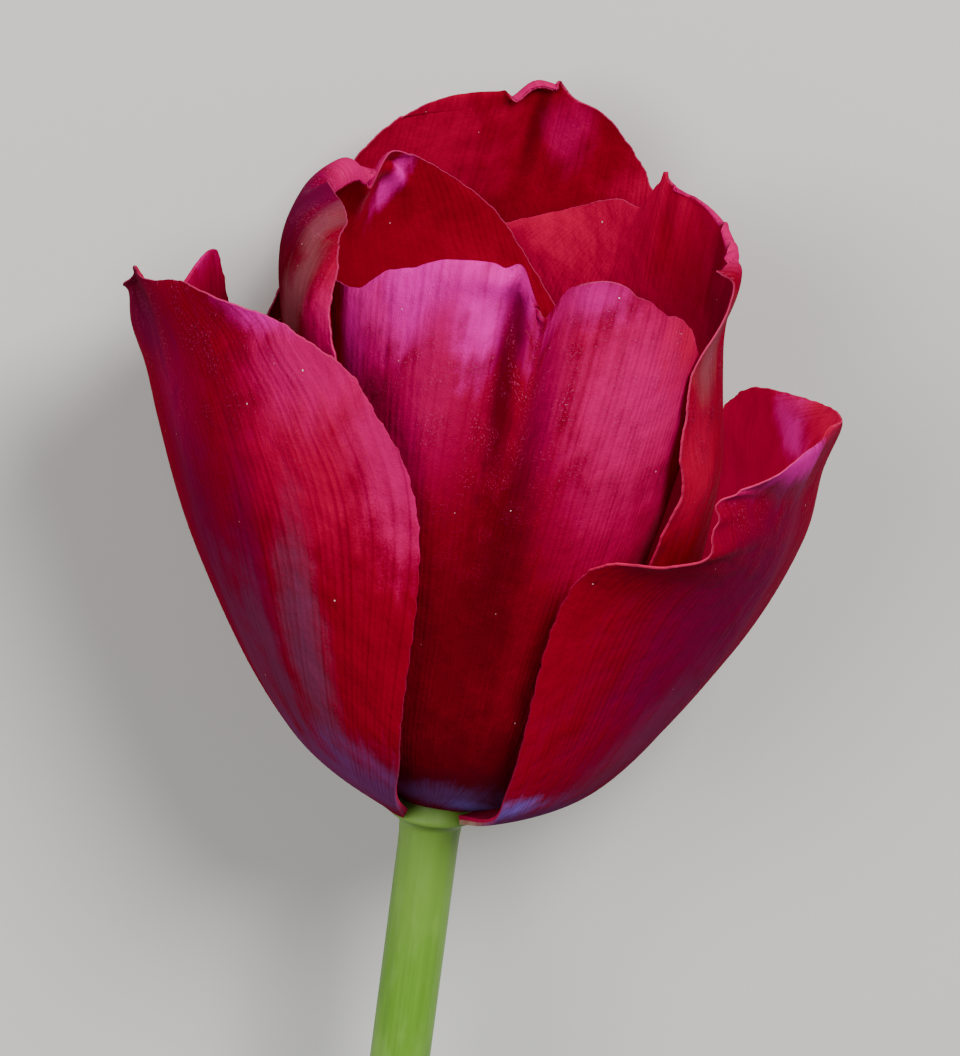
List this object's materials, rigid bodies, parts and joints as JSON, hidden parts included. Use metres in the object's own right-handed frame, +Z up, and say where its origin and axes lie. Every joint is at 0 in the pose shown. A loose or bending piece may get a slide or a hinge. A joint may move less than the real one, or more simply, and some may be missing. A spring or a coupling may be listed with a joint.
{
  "type": "cut tulip",
  "caption": "Cut tulip lying on its side: a half-open bloom of dark red, satiny petals with waved margins on a bare green stem.",
  "frame": {"origin": "On the table, below the middle of the flower's bounding box as it lies.", "axes": "+Y runs along the flower from the cut end of the stem to the tips of the petals, +Z is up from the table through the front of the bloom, and +X is to the right of the bloom seen from above with its tips away from the viewer."},
  "size_m": [0.0732, 0.2642, 0.0569],
  "materials": {
    "petal": "satin, velvety dark red with a pale thin margin",
    "stem": "waxy yellow-green",
    "pistil": "waxy pale green",
    "stamen": "dusty purple-black"
  },
  "bodies": {
    "root": {"stem": "stem", "inner_tepal_front": "petal", "inner_tepal_right": "petal", "inner_tepal_left": "petal", "outer_tepal_back": "petal", "outer_tepal_left": "petal", "outer_tepal_right": "petal", "pistil": "pistil", "stamen_1": "stamen", "stamen_2": "stamen", "stamen_3": "stamen", "stamen_4": "stamen", "stamen_5": "stamen", "stamen_6": "stamen"}
  },
  "joints": []
}
